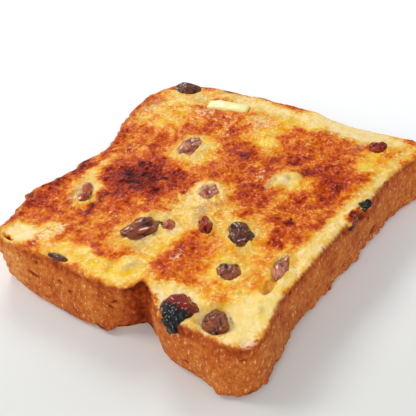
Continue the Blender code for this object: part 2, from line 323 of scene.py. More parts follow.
@dataclass(frozen=True)
class ToastedBread:
    """Crumb and crust: cream to charred on the faces, and baked brown on the walls."""

    browning: tuple[tuple[float, Colour], ...] = (
        (0.00, linear(246, 222, 172)),
        (0.15, linear(245, 211, 146)),
        (0.29, linear(236, 188, 88)),
        (0.42, linear(237, 161, 52)),
        (0.54, linear(219, 112, 24)),
        (0.66, linear(194, 72, 16)),
        (0.78, linear(152, 40, 14)),
        (0.89, linear(108, 12, 5)),
        (1.00, linear(44, 9, 6)),
    )
    buttered: tuple[tuple[float, Colour], ...] = (
        (0.00, linear(248, 218, 110)),
        (0.15, linear(249, 208, 70)),
        (0.29, linear(240, 186, 36)),
        (0.42, linear(236, 150, 18)),
        (0.54, linear(226, 110, 12)),
        (0.66, linear(198, 70, 10)),
        (0.78, linear(150, 34, 8)),
        (0.89, linear(90, 16, 8)),
        (1.00, linear(28, 10, 8)),
    )
    crust: tuple[tuple[float, Colour], ...] = (
        (0.00, linear(86, 24, 8)),
        (0.25, linear(156, 58, 18)),
        (0.50, linear(194, 98, 36)),
        (0.75, linear(216, 136, 62)),
        (1.00, linear(240, 192, 124)),
    )
    charcoal: Colour = linear(42, 8, 5)
    raisin_shade: Colour = linear(192, 160, 114)
    # Pale specks: partly butter foam, partly painted glints and sheen on the wet crumb
    froth_and_glints: Colour = linear(254, 230, 190)
    fleck: Colour = linear(250, 206, 142)
    pit: Colour = linear(122, 36, 12)

    def material(self) -> bpy.types.Material:
        """Builds the material, which reads the fields that the slice's mesh carries."""
        board = NodeBoard("toasted_bread")
        level = board.field("browning")
        crumbs = board.noise(1.05, 3.2, 0.64)
        patches = board.noise(3.2, 4.0, 0.6)
        mottle = board.math("ADD", board.sway(crumbs, 0.8), board.sway(patches, 0.6))
        butter = board.field("butter")
        calm = board.math("SUBTRACT", 1.0, board.math("MULTIPLY", butter, 0.5))
        lively = board.math("MULTIPLY", board.spread(level, 0.1, 0.6, 0.65, 1.0), calm)
        tone = board.math("ADD", level, board.math("MULTIPLY", mottle, lively), clamp=True)
        face = board.blend(butter, board.ramp(tone, self.browning), board.ramp(tone, self.buttered))
        speckles = board.spread(board.noise(1.6, 2.0), 0.36, 0.6, 0.9, 0.35)
        face = board.blend(board.math("MULTIPLY", board.field("grey"), speckles), face, self.raisin_shade)
        # Pale specks of foam and painted glints, thinned where the butter has soaked in
        froth_and_glints = board.math("MULTIPLY", board.field("froth_and_glints"), 0.3)
        froth_and_glint_specks = board.math("ADD", board.noise(1.0, 1.5, 0.5), froth_and_glints)
        froth_and_glint_specks = board.math("MULTIPLY", board.spread(froth_and_glint_specks, 0.71, 0.88, 0.0, 0.75), calm)
        face = board.blend(froth_and_glint_specks, face, self.froth_and_glints)
        colour = board.blend(board.field("crust"), face, self.crust_colour(board))
        colour = board.blend(board.field("char"), colour, self.charcoal)

        wet = board.math("MULTIPLY", butter, 0.12)
        gloss = board.math("SUBTRACT", board.spread(level, 0.0, 0.5, 0.34, 0.22), wet)
        gloss = board.math("ADD", gloss, board.spread(level, 0.6, 0.9, 0.0, 0.2))
        gloss = board.math("ADD", gloss, board.sway(crumbs, 0.4))
        gloss = board.math("ADD", gloss, board.math("MULTIPLY", board.field("crust"), 0.34), clamp=True)

        coarse = board.math("MULTIPLY", calm, board.spread(level, 0.1, 0.5, 0.4, 1.0))
        rough = board.relief(board.math("MULTIPLY", board.noise(1.15, 1.0, 0.5), coarse), 0.55, 1.0)
        fine = board.relief(board.math("MULTIPLY", board.noise(2.3, 1.0, 0.5), coarse), 0.5, 0.8, rough)
        board.set(Base_Color=colour, Roughness=gloss, Normal=fine, Specular_IOR_Level=0.09)
        board.set(Subsurface_Weight=0.2, Subsurface_Scale=0.001, Subsurface_Radius=(1.0, 0.45, 0.2))
        return board.material

    def crust_colour(self, board: NodeBoard) -> bpy.types.NodeSocket:
        """The baked wall: brown, blotched and grained, with pale flecks and dark pits.

        Args:
            board: The material's node tree.

        Returns:
            The colour.
        """
        blotches = board.sway(board.noise(7.0, 3.0, 0.6), 0.6)
        shade = board.math("ADD", blotches, board.sway(board.noise(1.5, 4.0, 0.72), 1.0))
        # This field carries the baking and the painted shade of the cleft, the cracks and the foot
        shade = board.math("ADD", shade, board.field("bake_and_shade"), clamp=True)
        flecks = board.spread(board.noise(0.85, 2.0, 0.55, stretch=(1.0, 1.0, 1.7)), 0.61, 0.69, 0.0, 0.5)
        flecks = board.math("MULTIPLY", flecks, board.spread(shade, 0.25, 0.5))
        pits = board.spread(board.noise(1.3, 3.0, 0.6, stretch=(1.3, 1.3, 0.8)), 0.27, 0.35, 0.7, 0.0)
        colour = board.blend(flecks, board.ramp(shade, self.crust), self.fleck)
        return board.blend(pits, colour, self.pit)


@dataclass(frozen=True)
class RaisinSkin:
    """Wrinkled, slightly sticky skin: painted shade darkens its hollows, its folds stay lighter; black where
    burnt.
    """

    name: str
    deep: Colour
    light: Colour
    roughness: float = 0.28
    gloss: float = 0.9
    soot: Colour = linear(15, 11, 11)
    ash: Colour = linear(50, 43, 43)

    def material(self) -> bpy.types.Material:
        """Builds the material, which reads how creased the skin is, for its painted shade, and how burnt it is.
        """
        board = NodeBoard(self.name)
        patch = board.sway(board.noise(2.2, 3.0, 0.6), 1.3)
        # Painted shade: the skin darkens into the hollows of its wrinkles, and its folds stay lighter
        fold = board.math("SUBTRACT", 0.75, board.field("crease_shade"))
        colour = board.blend(board.math("ADD", fold, patch, clamp=True), self.deep, self.light)
        black = board.blend(board.spread(board.noise(0.9, 3.0, 0.6), 0.5, 0.72), self.soot, self.ash)
        burnt = board.field("burnt")
        colour = board.blend(burnt, colour, black)
        rough = board.spread(board.noise(1.2, 2.0, 0.5), 0.3, 0.7, self.roughness - 0.1, self.roughness + 0.1)
        rough = board.math("ADD", rough, board.math("MULTIPLY", burnt, 0.16))
        grain = board.relief(board.noise(0.9, 2.0, 0.5), 0.14, 0.5)
        board.set(Base_Color=colour, Roughness=rough, Normal=grain, Specular_IOR_Level=0.06)
        board.set(Coat_Weight=self.gloss, Coat_Roughness=0.09)
        board.set(Subsurface_Weight=0.1, Subsurface_Scale=0.001, Subsurface_Radius=(1.0, 0.25, 0.1))
        return board.material


@dataclass(frozen=True)
class SoftButter:
    """Pale butter that turns deeper and glossier where it melts."""

    firm: Colour = linear(255, 240, 174)
    melted: Colour = linear(250, 206, 80)

    def material(self) -> bpy.types.Material:
        """Builds the material, which reads how far the butter has melted."""
        board = NodeBoard("soft_butter")
        melt = board.math("ADD", board.field("melt"), board.sway(board.noise(3.0), 0.4), clamp=True)
        board.set(Base_Color=board.blend(melt, self.firm, self.melted))
        board.set(Roughness=board.spread(melt, 0, 1, 0.3, 0.14), Coat_Weight=0.1)
        board.set(Normal=board.relief(board.noise(2.0, 2.0), 0.2, 0.4))
        board.set(Subsurface_Weight=0.35, Subsurface_Scale=0.002, Subsurface_Radius=(1.0, 0.7, 0.3))
        return board.material


@dataclass(frozen=True)
class PaleFloor:
    """A plain, matt studio floor that pales towards its far side, which is painted light.

    Attributes:
        near: Its colour on the near side.
        far: Its colour on the far side.
        away: The direction in which it pales.
        starts: Where it begins to pale, in metres along that direction.
        ends: Where it is palest.
    """

    near: Colour = linear(229, 228, 224)
    far: Colour = linear(255, 255, 255)
    away: tuple[float, float, float] = (0.816, 0.578, 0.0)
    starts: float = -0.075
    ends: float = 0.035

    def material(self) -> bpy.types.Material:
        """Builds the material."""
        board = NodeBoard("pale_floor")
        depth = board.nodes.new("ShaderNodeVectorMath")
        depth.operation = "DOT_PRODUCT"
        depth.inputs[1].default_value = self.away
        board.links.new(board.place, depth.inputs[0])
        # Painted light: the floor pales from its near colour to white towards the far side
        tint = board.blend(board.spread(depth.outputs["Value"], self.starts, self.ends), self.near, self.far)
        board.set(Base_Color=tint, Roughness=0.9, Specular_IOR_Level=0.1)
        return board.material


# How far out from its middle a patch keeps its full strength, and where it ends, as shares of its half sizes
PATCH_CORE = 0.45
PATCH_EDGE = 1.25


@dataclass(frozen=True)
class Patch:
    """An oval area of the toasted face or of a wall, in millimetres.

    Attributes:
        x: Where its middle is along X, or along the wall.
        y: Where its middle is along Y, or up the wall.
        across: Its half length.
        along: Its half width.
        turn: Its turn, in degrees.
        level: The value that it holds.
        share: How far it brings another value towards its own.
    """

    x: float
    y: float
    across: float
    along: float
    turn: float
    level: float
    share: float = 0.9

    def falloff(self, x: float, y: float) -> float:
        """How far inside the patch a place lies.

        Args:
            x: The place along X, or along the wall.
            y: The place along Y, or up the wall.

        Returns:
            1 in the patch's core, 0 past its edge.
        """
        dx, dy = x - self.x, y - self.y
        cos, sin = math.cos(math.radians(self.turn)), math.sin(math.radians(self.turn))
        reach = math.hypot((dx * cos + dy * sin) / self.across, (dy * cos - dx * sin) / self.along)
        return 1 - smooth_step(PATCH_CORE, PATCH_EDGE, reach) if reach < PATCH_EDGE else 0.0

    def weight(self, x: float, y: float) -> float:
        """How strongly the patch acts at a place, from 0 to its share."""
        return self.share * self.falloff(x, y)

    def height(self, x: float, y: float) -> float:
        """The patch's own value at a place, which fades to 0 at its edge."""
        return self.level * self.falloff(x, y)


def blended(patches: tuple[Patch, ...], x: float, y: float, level: float) -> float:
    """Brings a level towards that of each patch in turn, as far as the patch acts at a place.

    Args:
        patches: The patches, of which a later one lies over an earlier one.
        x: The place along X, in millimetres.
        y: The place along Y.
        level: The level where no patch acts.

    Returns:
        The level at the place.
    """
    for patch in patches:
        level += (patch.level - level) * patch.weight(x, y)
    return level


# How brown the toast is: 0 is cream, and 1 is black
BROWNING = (
    Patch(16, -20, 28, 24, 0, 0.61), Patch(-10, 20, 26, 17, 15, 0.66), Patch(-32, 14, 14, 13, 0, 0.55, 0.8),
    Patch(-30, 37, 14, 6, 0, 0.64, 0.8), Patch(10, 33, 17, 8, 0, 0.56, 0.8), Patch(12, 13, 11, 8, 0, 0.26),
    Patch(27, 34, 12, 8, -20, 0.32, 0.8), Patch(30, -1, 8, 9, 10, 0.26), Patch(40, 4, 8, 14, 0, 0.36, 0.7),
    Patch(45, -6, 5, 11, 0, 0.22, 0.8), Patch(36, -38, 10, 5, 0, 0.28, 0.9),
    Patch(12.2, -20.3, 5.2, 5.4, 0, 0.07, 1), Patch(13, -27, 5, 3, 0, 0.42, 0.5),
    Patch(-12, -3, 15, 6, 5, 0.2), Patch(-30, -4, 11, 6, -10, 0.26), Patch(-12, -11, 10, 7, 20, 0.34),
    Patch(-30, -31, 17, 11, 0, 0.39), Patch(-16, -24, 10, 8, 0, 0.37, 0.8), Patch(-48, -22, 5, 14, 0, 0.14),
    Patch(-45, -40, 12, 6, 0, 0.16), Patch(-49, 8, 5, 19, 0, 0.22), Patch(-46, -4, 8, 6, 0, 0.2),
    Patch(-48.6, 34.6, 6.4, 6.4, 0, 0.06, 1), Patch(-44, 27, 5, 4, 30, 0.2, 0.8),
    Patch(-22, 31.4, 7.4, 3.6, 22, 0.18), Patch(-15, 36, 15, 2.6, 0, 0.3, 0.8),
    Patch(40, 38, 7, 10, 0, 0.2), Patch(27, 42, 13, 3.6, -8, 0.3, 0.8), Patch(48, 14, 4.5, 22, 0, 0.14),
    Patch(49.5, -24, 6, 24, 0, 0.07, 1), Patch(2, -44.5, 54, 3.4, 0, 0.19, 1),
    Patch(-44, -45, 14, 6, 0, 0.05, 1), Patch(-31, -42.1, 4.2, 1.1, 8, 0.44, 1),
    Patch(-50.7, -18.4, 0.6, 2.2, -42, 0.86, 1), Patch(-8, 21, 6.5, 10, -15, 0.92),
    Patch(-14, 24, 8, 8, 0, 0.86, 0.8), Patch(-6, 12, 7, 5, 0, 0.78, 0.7),
    Patch(-23, 17, 6, 4, 0, 0.7, 0.7), Patch(-30, 24, 4, 1.6, 20, 0.86, 0.8),
    Patch(-34, -14, 7, 5, 0, 0.66, 0.8), Patch(-43.5, 6, 2.2, 5, 0, 0.6, 0.7),
    Patch(21, 2, 7, 7, 0, 0.71, 0.8), Patch(24.5, -15.5, 4, 2.6, 20, 0.8, 0.8),
    Patch(22, -27, 5, 6, 0, 0.76, 0.8), Patch(18, -34, 8, 4, 0, 0.76, 0.7),
    Patch(2, -12, 5, 4, 0, 0.78, 0.8), Patch(-12, -33, 5, 2.8, 30, 0.76, 0.8),
    Patch(-4, -32, 2.6, 1.8, 30, 0.92), Patch(8, 27, 5, 3.5, 0, 0.72, 0.7),
    Patch(34, 30, 6, 2.4, 0, 0.6, 0.7), Patch(34, -8, 5, 4, 0, 0.64, 0.7), Patch(41, -8, 1.6, 2.2, 0, 0.72),
    Patch(9, -46.2, 5, 1.4, 6, 0.84, 1), Patch(-22, 42.4, 20, 2.8, 2, 0.76, 0.9),
    Patch(-40, 42.5, 7, 1.6, 8, 0.76, 0.8), Patch(-52.6, 36.4, 0.8, 2.8, -8, 0.9, 1),
    Patch(8, 42, 12, 2, 10, 0.66, 0.8),
)
# How far the crumb has soaked up butter, from 0 to 1
BUTTER_SOAKED = (
    Patch(-48, 8, 7, 20, 0, 0.9), Patch(-44, -6, 9, 7, 0, 0.8), Patch(-32, -8, 16, 8, 0, 0.7),
    Patch(-12, -10, 12, 9, 0, 0.5), Patch(-30, -30, 19, 13, 0, 0.8), Patch(-40, -45, 16, 5, 0, 0.6),
    Patch(30, -1, 8, 9, 0, 0.8), Patch(12, 12, 12, 9, 0, 0.6), Patch(40, -2, 7, 16, 0, 0.8),
    Patch(36, -38, 12, 6, 0, 0.9), Patch(26, 32, 13, 9, 0, 0.7), Patch(0, 44, 60, 0.1, 0, 0),
    Patch(39, 20, 6, 10, 20, 0.8), Patch(12, -26, 7, 5, 0, 0.7),
)
# Spots of charcoal, with how black each one is
CHARRED = (
    Patch(-9, 24, 1.6, 3.6, -25, 0.8), Patch(-7, 19, 1.8, 2.6, 10, 0.65), Patch(-12, 21, 1.2, 2, 0, 0.65),
    Patch(-5, 13, 1.2, 1.8, 0, 0.6), Patch(-31.5, 24, 1.4, 0.8, 40, 0.9), Patch(-24, 24.5, 3, 0.5, 45, 0.9),
    Patch(-4, -32, 1.4, 0.9, 30, 0.8), Patch(-17, 43, 2.2, 1, 0, 0.9), Patch(-11, 42.6, 2.4, 0.8, 0, 0.8),
    Patch(-33, 45, 2, 1.2, 30, 0.7), Patch(18, -23.2, 0.6, 0.6, 0, 0.9), Patch(6.5, -35, 0.5, 0.5, 0, 0.9),
    Patch(51.5, 28, 1.4, 2.2, 0, 0.8), Patch(30.5, 49, 1.5, 0.7, 0, 0.6),
)
# Swellings of the face over buried raisins, and hollows, with the height of each
MOUNDS = (
    Patch(10.4, -18.4, 3.6, 3.4, 0, 1.6), Patch(14, -21.8, 3.6, 3.6, 0, 1.4),
    Patch(-9, -8, 6, 4.5, 10, 0.7), Patch(-44.3, -3.8, 3.4, 3.4, 0, 0.5), Patch(-39.4, -45, 4, 1.8, 0, 0.4),
    Patch(-27, 28, 7, 5, 30, -0.5), Patch(30, 0, 7, 8, 0, -0.4), Patch(-24, -38, 9, 1.4, 0, 0.6),
    Patch(-47, 34, 6, 5, 0, -0.6), Patch(-48.4, -37.4, 6.6, 5.6, 0, -2.4),
    Patch(-31, -42.1, 4.6, 1.2, 8, -1.2), Patch(-52.6, 36.4, 0.9, 3, -8, -1.2),
)

# Raisins that show greyish through the crumb
BURIED = (
    Patch(9.6, -17.6, 2.2, 1.8, 0, 1, 1), Patch(12.2, -20.2, 1.8, 1.5, 0, 1, 1),
    Patch(14.8, -22.4, 1.6, 1.5, 0, 0.8, 0.9), Patch(-14, -6.6, 7.5, 1.9, 14, 1, 1),
    Patch(-8, -9, 4.5, 1.6, 0, 0.8, 0.8), Patch(-44.6, -4.4, 3.2, 1.9, -30, 1, 0.9),
    Patch(-39.6, -45.2, 3.6, 1.3, 15, 0.8, 0.8), Patch(-25, 33.4, 7.5, 1.8, 20, 0.9, 0.8),
    Patch(28, 45.6, 6.5, 1.8, -12, 1, 0.8), Patch(42, 33, 3.5, 4.5, 0, 0.6, 0.6),
    Patch(-35, -0.5, 4, 2.2, -20, 0.8, 0.7), Patch(-25.5, -4.6, 3.4, 1.8, 0, 0.9, 0.8),
    Patch(-37.4, -36.7, 1.2, 0.7, 0, 0.9, 0.9), Patch(-22.5, -27, 3, 1.6, 30, 0.7, 0.6),
    Patch(-33, -34, 5, 1.4, 0, 0.6, 0.6), Patch(42.8, -30, 3.4, 2, 0, 0.8, 0.6),
    Patch(11, 12.2, 5, 1.4, 10, 0.6, 0.6),
)
# Where pale specks stand on the face, partly butter foam and partly painted glints and sheen: the higher the
# level, the denser they are
FROTH_AND_GLINT_PATCHES = (
    Patch(38, 5.5, 5, 4.5, 0, 1.1, 1), Patch(35, 26.5, 4.5, 5, 20, 1, 0.9),
    Patch(-44.5, 25.5, 6, 3.4, -20, 1.05, 1), Patch(-34, -13.2, 4.5, 2.6, 0, 1, 0.7),
    Patch(27.5, 11.5, 3.6, 3, 0, 1, 0.6), Patch(2, 34.5, 4.5, 2.6, 20, 1, 0.6),
    Patch(-7, 3, 6.5, 2.2, 0, 1, 0.6), Patch(12, -12, 5.5, 2.2, 10, 1, 0.6),
    Patch(-13, -34, 4, 1.8, 15, 1, 0.6), Patch(33, 18, 6, 5, 0, 1, 0.5), Patch(-27, 17, 4, 2.2, 30, 1, 0.5),
    Patch(-52.2, -49.2, 3.2, 1.5, -10, 1.6, 1), Patch(22, -38, 5, 2, 0, 1, 0.4),
    Patch(-50, 31, 1.4, 5, -15, 1, 0.8), Patch(44, 14, 3, 2.6, 0, 1, 0.7),
)

# Cracks and pits of the left wall, by their place along Y and their height, with the depth of each
SIDE_CRACKS = (
    Patch(-4, 9.2, 1.3, 0.5, 40, 1), Patch(-5.2, 11.4, 1.2, 0.4, -30, 1), Patch(24.6, 9.4, 2.8, 0.6, 12, 1),
    Patch(10.2, 9.6, 1, 0.4, -20, 1), Patch(-31.6, 5, 0.8, 0.4, 0, 1), Patch(20, 3.4, 1.6, 0.5, 0, 1),
    Patch(23.6, 13.6, 0.7, 0.6, 0, 1), Patch(-49.2, 13.2, 0.7, 0.5, 0, 1), Patch(14, 11, 1.2, 0.3, 15, 1),
)
# Cracks and pits of the base wall, by their place along X and their height, with the depth of each
BASE_CRACKS = (
    Patch(8, 15.6, 4, 1.8, -12, 0.9), Patch(16.6, 13, 0.8, 3, -12, 1), Patch(-53, 10.2, 0.7, 0.5, 0, 1),
    Patch(-51.2, 6, 0.6, 1.4, -15, 1), Patch(18.5, 12.4, 3.4, 0.45, -35, 1),
    Patch(20, 4.4, 2.8, 1.6, 0, 0.7), Patch(-36, 11.6, 1.8, 2.6, 0, 0.2), Patch(-43, 8, 2, 2.6, 0, 0.2),
    Patch(11.8, 14.2, 1.8, 0.8, -20, 1), Patch(1, 3.6, 1.2, 0.5, 0, 0.8),
    Patch(-5.4, 6.6, 1.2, 0.8, 20, 0.7), Patch(15, 0.8, 1, 1, 60, 0.8), Patch(47, 4.4, 1.6, 0.5, 0, 0.9),
    Patch(-29, 15.6, 1, 0.5, 0, 0.8),
)

# The crust's line round the toasted face, anticlockwise from the cleft
CRUST_LINE = (
    (-46.8, -10.4), (-49.6, -15.0), (-53.2, -19.6), (-55.6, -25.5), (-55.6, -36.0), (-55.9, -44.5),
    (-54.2, -49.6), (-48.4, -51.0), (-37.0, -48.2), (-25.0, -46.9), (0.0, -46.8), (26.0, -46.6),
    (41.0, -47.6), (50.0, -50.0), (54.4, -46.0), (53.9, -33.0), (52.9, -20.0), (54.0, -4.0), (53.7, 14.0),
    (52.7, 27.0), (51.6, 34.5), (50.2, 38.6), (50.0, 42.6), (45.4, 48.2), (33.0, 51.6), (23.0, 49.6),
    (13.0, 46.4), (4.0, 42.6), (-5.0, 41.8), (-12.0, 43.8), (-20.5, 43.2), (-30.5, 46.8), (-40.0, 44.2),
    (-49.4, 41.8), (-54.3, 38.0), (-54.0, 27.0), (-53.2, 14.5), (-54.0, 3.0), (-53.4, -5.4), (-51.4, -9.0),
)
CLEFT = CRUST_LINE[0]


@dataclass
class BreadSlice:
    """The slice: toasted face, crust walls and cut underside in one closed skin.

    Attributes:
        thickness: Height of the toasted face at its rim, in millimetres.
        crown: How much higher the face is in its middle.
        fineness: Spacing of the mesh's points, in millimetres.
        plug_growth: How far a raisin's plug is grown, to close the room that its socket keeps round it.
        half_width: How far from the middle the crown ends along X.
        half_length: How far from the middle the crown ends along Y.
        wall_reach: How far inside the crust's line a point may lie and still belong to a wall.
        left_wall: The walls left of this place along X are the left wall.
        base_wall: The walls below this place along Y are the base wall.
        face_inset: How far inside the crust's line even a steep point takes the marks of the toasted face.
        crust_top: Height up to which all is crust.
        toast_foot: Height from which the face can be toast.
        plain_browning: Browning of the face where no patch acts.
        most_browning: Browning of its darkest parts.
        crust_line: The crust's line as closely spaced points.
    """

    thickness: float = 17.0
    crown: float = 0.9
    fineness: float = 0.54
    plug_growth: float = 0.6
    half_width: float = 56.0
    half_length: float = 52.0
    wall_reach: float = 4.5
    left_wall: float = -44.0
    base_wall: float = -43.0
    face_inset: float = 3.0
    crust_top: float = 12.5
    toast_foot: float = 14.0
    plain_browning: float = 0.57
    most_browning: float = 0.87
    crust_line: kdtree.KDTree = field(init=False)

    def __post_init__(self) -> None:
        """Sets out the crust's line as closely spaced points."""
        knots = CRUST_LINE + CRUST_LINE[:1]
        steps = 16
        points = []
        for i in range(len(CRUST_LINE)):
            a, b, c, d = knots[max(i - 1, 0)], knots[i], knots[i + 1], knots[min(i + 2, len(CRUST_LINE))]
            for k in range(steps):
                t = k / steps
                points.append([curve_between(*coordinates, t) for coordinates in zip(a, b, c, d)])
        self.crust_line = kdtree.KDTree(len(points))
        for i, (x, y) in enumerate(points):
            self.crust_line.insert(Vector((x, y, 0.0)), i)
        self.crust_line.balance()

    def build(self, finish: bpy.types.Material) -> bpy.types.Object:
        """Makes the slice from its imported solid.

        Args:
            finish: The bread's material.

        Returns:
            The finished piece.
        """
        piece = merged_copy("bread", "toasted_slice")
        plugs = [self.plug(raisin.node) for raisin in RAISINS if raisin.bedded]
        take_up(piece)
        for plug in plugs:
            plug.select_set(True)
        bpy.ops.object.join()
        skin = piece.modifiers.new("even skin", "REMESH")
        skin.mode = "VOXEL"
        skin.voxel_size = self.fineness * MM
        soften = piece.modifiers.new("soften", "SMOOTH")
        soften.factor = 0.5
        soften.iterations = 3
        apply_all(piece)
        self.thin_underside(piece)
        self.sculpt(piece.data)
        piece.data.materials.append(finish)
        take_up(piece)
        bpy.ops.object.shade_smooth()
        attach(piece, "root")
        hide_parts("bread")
        return piece

    def plug(self, node: str) -> bpy.types.Object:
        """A raisin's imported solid, grown until it closes its socket, so that the crumb meets the raisin.

        Args:
            node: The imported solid's name.

        Returns:
            The grown copy.
        """
        made = merged_copy(node, node + "_plug")
        low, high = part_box(node)
        middle = Vector([(a + b) / 2 for a, b in zip(low, high)])
        growth = [1 + 2 * self.plug_growth * MM / (b - a) for a, b in zip(low, high)]
        for vertex in made.data.vertices:
            vertex.co = middle + Vector([(c - m) * g for c, m, g in zip(vertex.co, middle, growth)])
        return made

    def thin_underside(self, piece: bpy.types.Object) -> None:
        """Leaves fewer points on the flat underside."""
        for polygon in piece.data.polygons:
            polygon.select = polygon.normal.z < -0.9 and polygon.center.z < 0.4 * MM
        take_up(piece)
        bpy.ops.object.mode_set(mode="EDIT")
        bpy.ops.mesh.select_mode(type="FACE")
        bpy.ops.mesh.decimate(ratio=0.4)
        bpy.ops.object.mode_set(mode="OBJECT")

    def face_level(self, x: float, y: float) -> float:
        """Height of the smooth toasted face, in millimetres."""
        across = max(0.0, 1 - (x / self.half_width) ** 2)
        along = max(0.0, 1 - (y / self.half_length) ** 2)
        crown = self.crown * across * along
        swell = 0.9 * noise.noise(Vector((x, y, 4.0)) / 17.0)
        return self.thickness + crown + swell + 0.44 * noise.noise(Vector((x, y, 9.0)) / 5.5)

    def sculpt(self, mesh: bpy.types.Mesh) -> None:
        """Raises the crumb's grain, the crust's crags and the pores, and stores each point's baking and painted
        shade.

        Args:
            mesh: The slice's mesh, evenly spaced.
        """
        places = [v.co / MM for v in mesh.vertices]
        normals = [v.normal.copy() for v in mesh.vertices]
        names = ("browning", "butter", "crust", "char", "bake_and_shade", "grey", "froth_and_glints")
        fields: dict[str, list[float]] = {name: [] for name in names}
        for vertex, place, normal in zip(mesh.vertices, places, normals):
            nearest, _, inset = self.crust_line.find(Vector((place.x, place.y, 0.0)))
            if normal.z < -0.5 and place.xy.length > nearest.xy.length:
                inset = 0.0
            level = self.face_level(place.x, place.y)
            if place.z > level:
                place.z = level
                normal = Vector((0.0, 0.0, 1.0))
            grain = 0.6 * wobble(place, 1.7, 61.0) + 0.5 * wobble(place, 1.0, 63.0)
            marks = self.marks(place, normal, inset, grain)
            for name, value in marks.items():
                fields[name].append(value)
            vertex.co = (place + normal * self.lift(place, normal, inset, grain, marks)) * MM
        for name, values in fields.items():
            write_field(mesh, name, values)
        mesh.update()

    def marks(self, place: Vector, normal: Vector, inset: float, grain: float) -> dict[str, float]:
        """How baked, buttered and charred the bread is at one point.

        Args:
            place: The point, in millimetres.
            normal: The surface's direction there.
            inset: Its distance from the crust's line, seen from above.
            grain: The crumb's own grain there, about -1 to 1.

        Returns:
            A value from 0 to 1 for each field.
        """
        upward = smooth_step(0.35, 0.75, normal.z)
        marks = {
            "browning": 0.3, "butter": 0.0, "crust": 0.0, "char": 0.0, "bake_and_shade": 0.5, "grey": 0.0, "froth_and_glints": 0.0,
        }
        if normal.z < -0.5:
            self.mark_underside(marks, place, inset, grain)
            return marks
        toasted = upward * smooth_step(self.crust_top, self.toast_foot, place.z)
        marks["crust"] = 1.0 - toasted * smooth_step(0.1, 0.75, inset + 0.5 * wobble(place, 1.3, 21.0))
        if upward > 0 or inset > self.face_inset:
            self.mark_face(marks, place, grain)
        if marks["crust"] > 0.3:
            self.mark_wall(marks, place, inset, 1 - upward)
        return marks

    def mark_underside(self, marks: dict[str, float], place: Vector, inset: float, grain: float) -> None:
        """Marks a point of the underside: plain crumb inside a line of crust.

        Args:
            marks: The point's fields, which it fills in.
            place: The point, in millimetres.
            inset: Its distance from the crust's line, seen from above.
            grain: The crumb's own grain there, about -1 to 1.
        """
        marks["browning"] = 0.16 + 0.1 * wobble(place, 9.0, 31.0) + 0.06 * grain
        cut = 1.0 - smooth_step(0.3, 0.7, place.z)
        marks["crust"] = 1.0 - cut * smooth_step(0.6, 1.8, inset + 0.5 * wobble(place, 1.4, 21.0))

    def mark_face(self, marks: dict[str, float], place: Vector, grain: float) -> None:
        """Marks a point of the toasted face, its place pulled about so that no patch has a smooth edge.

        Args:
            marks: The point's fields, which it fills in.
            place: The point, in millimetres.
            grain: The crumb's own grain there, about -1 to 1.
        """
        warp_x = 1.5 * wobble(place, 5.0, 3.0) + 1.0 * wobble(place, 1.9, 5.0)
        warp_y = 1.5 * wobble(place, 5.0, 13.0) + 1.0 * wobble(place, 1.9, 15.0)
        x, y = place.x + warp_x, place.y + warp_y
        browning = blended(BROWNING, x, y, self.plain_browning)
        browning += 0.14 * wobble(place, 4.2, 7.0) + 0.1 * wobble(place, 2.4, 9.0)
        browning += 0.12 * grain * smooth_step(0.1, 0.6, browning)
        halo = max(patch.height(x, y) for patch in HALOS)
        marks["browning"] = min(self.most_browning, max(0.0, browning))
        marks["browning"] += (0.1 - marks["browning"]) * halo
        soaked = blended(BUTTER_SOAKED, x, y, 0.25) + 0.5 * wobble(place, 3.4, 11.0)
        marks["butter"] = min(1.0, max(0.0, soaked))
        marks["grey"] = blended(BURIED, x, y, 0.0)
        # Pale specks, partly foam and partly painted glints and sheen: denser on pale crumb and round the
        # raisins
        froth_and_glints = blended(FROTH_AND_GLINT_PATCHES, x, y, 0.55 - 0.5 * smooth_step(0.35, 0.6, browning))
        marks["froth_and_glints"] = froth_and_glints + (1 - froth_and_glints) * 0.7 * halo
        x, y = place.x + 0.4 * warp_x, place.y + 0.4 * warp_y
        marks["char"] = max(patch.height(x, y) for patch in CHARRED)

    def mark_wall(self, marks: dict[str, float], place: Vector, inset: float, steep: float) -> None:
        """Marks a point of a wall.

        It is darker in the cleft, in cracks and along its foot, which is painted shade, darker towards the rim,
        paler at the risen top, and scorched at the foot of the left lobes.

        Args:
            marks: The point's fields, which it fills in.
            place: The point, in millimetres.
            inset: Its distance from the crust's line, seen from above.
            steep: How steep the surface is there: 1 on a wall, 0 on the face.
        """
        left = smooth_step(40.0, 46.0, -place.x)
        cleft = math.hypot(place.x - CLEFT[0], place.y - CLEFT[1])
        # Painted shade: the wall darkens into the cleft
        bake_and_shade = 0.52 - 0.3 * (1 - smooth_step(1.5, 10.0, cleft)) * steep
        bake_and_shade += 0.17 * smooth_step(26.0, 34.0, place.y) * left
        bake_and_shade -= 0.2 * smooth_step(12.5, 16.5, place.z + 1.5 * wobble(place, 4.0, 35.0)) * steep
        dome = smooth_step(37.0, 41.0, place.y) * (1 - smooth_step(10.0, 20.0, place.x))
        bake_and_shade += 0.06 * dome * smooth_step(8.0, 15.0, place.z)
        # Painted shade in the cracks and pits
        bake_and_shade -= 0.4 * self.crack(place, inset)
        # Painted shade along the foot, where the slice meets the floor
        foot = 1 - smooth_step(0.3, 2.0, place.z + 1.2 * wobble(place, 3.0, 41.0))
        marks["bake_and_shade"] = bake_and_shade - 0.3 * foot
        # Blackened a little along the whole foot, which is painted shade, and truly scorched at the left lobes
        scorched = smooth_step(-24.0, -18.0, place.y) * (1 - smooth_step(-4.0, 3.0, place.y)) * left
        marks["char"] = max(marks["char"], (0.15 + 0.8 * scorched) * foot)

